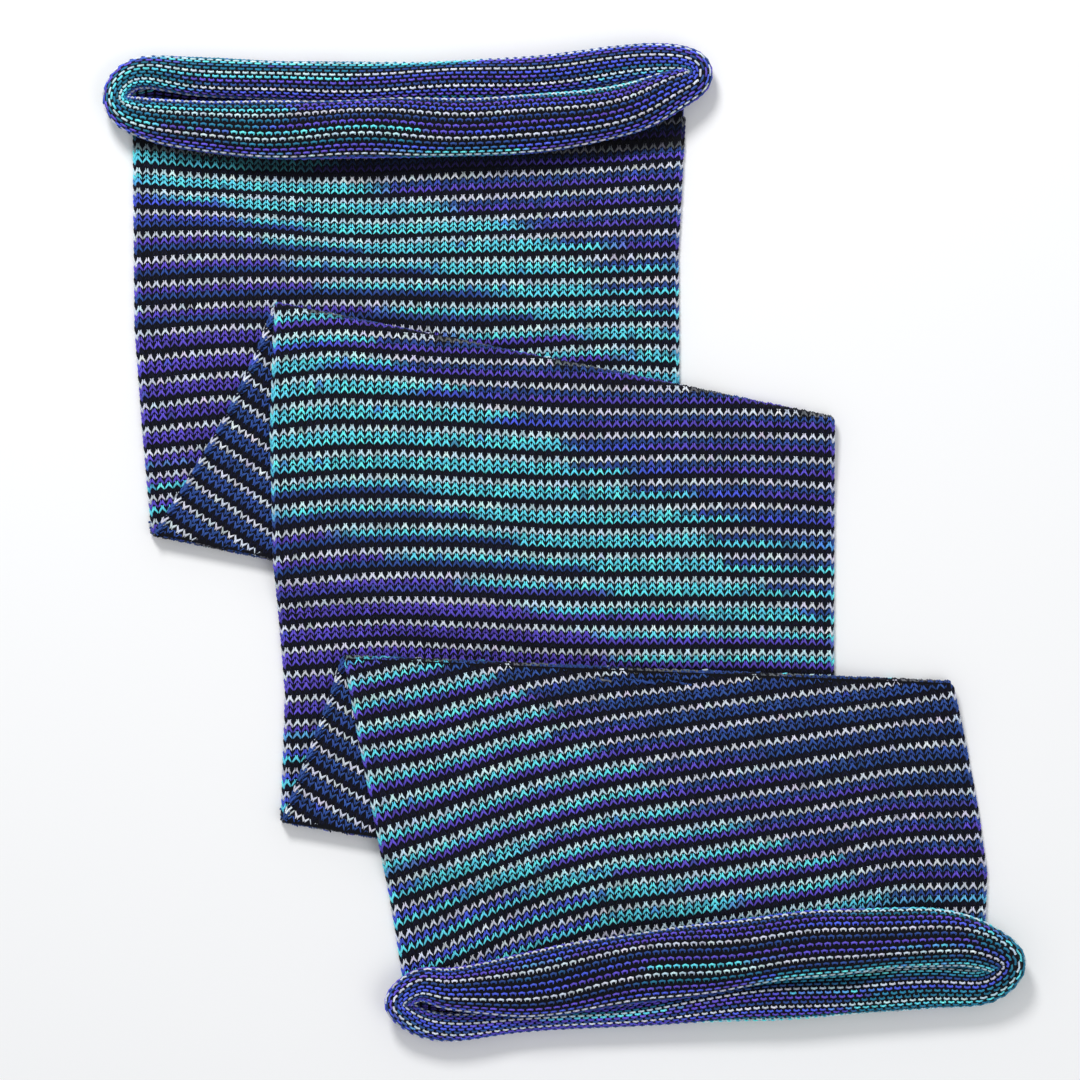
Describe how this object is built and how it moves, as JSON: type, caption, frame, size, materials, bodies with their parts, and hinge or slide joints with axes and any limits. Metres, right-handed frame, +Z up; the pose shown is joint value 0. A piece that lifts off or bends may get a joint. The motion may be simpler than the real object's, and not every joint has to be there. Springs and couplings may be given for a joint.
{
  "type": "neck gaiter",
  "caption": "Long knitted tube neck gaiter with rolled rims, laid flat and folded into zigzag pleats that swing open at their fold lines.",
  "frame": {"origin": "middle of the footprint, on the surface that the gaiter lies on", "axes": "+Z up from the surface, +Y towards the upper mouth, +X to the right as seen from above with that mouth at the top"},
  "size_m": [0.4184, 0.4532, 0.0245],
  "materials": {
    "striped_knit": "matte wool yarn in thin courses of near-black navy, white, turquoise, violet and slate blue",
    "rim_knit": "purl side of the same yarn, violet and navy with broken white and turquoise dashes"
  },
  "bodies": {
    "upper_panel": {"upper_panel_back": "striped_knit", "upper_panel_front": "striped_knit", "upper_rolled_rim": "rim_knit"},
    "upper_return": {"upper_return_front": "striped_knit", "upper_return_back": "striped_knit"},
    "middle_panel": {"middle_panel_back": "striped_knit", "middle_panel_front": "striped_knit"},
    "lower_return": {"lower_return_front": "striped_knit", "lower_return_back": "striped_knit"},
    "lower_panel": {"lower_panel_back": "striped_knit", "lower_panel_front": "striped_knit", "lower_rolled_rim": "rim_knit"}
  },
  "joints": [
    {"name": "upper_pleat_fold", "type": "hinge", "parent": "upper_panel", "child": "upper_return", "pos_m": [-0.06689, -0.02204, 0.00555], "axis": [0.9799, -0.1997, 0], "range_deg": [0, 180]},
    {"name": "upper_pleat_return", "type": "hinge", "parent": "upper_return", "child": "middle_panel", "pos_m": [-0.00414, 0.08381, 0.00555], "axis": [-0.9798, 0.2001, 0], "range_deg": [0, 180]},
    {"name": "lower_pleat_fold", "type": "hinge", "parent": "middle_panel", "child": "lower_return", "pos_m": [-0.00209, -0.14869, 0.00555], "axis": [0.9869, -0.1614, 0], "range_deg": [0, 180]},
    {"name": "lower_pleat_return", "type": "hinge", "parent": "lower_return", "child": "lower_panel", "pos_m": [0.03811, -0.05659, 0.00555], "axis": [-0.9991, 0.0427, 0], "range_deg": [0, 180]}
  ],
  "couplings": [
    {"joint": "upper_pleat_return", "follows": "upper_pleat_fold", "ratio": 1},
    {"joint": "lower_pleat_return", "follows": "lower_pleat_fold", "ratio": 1}
  ]
}
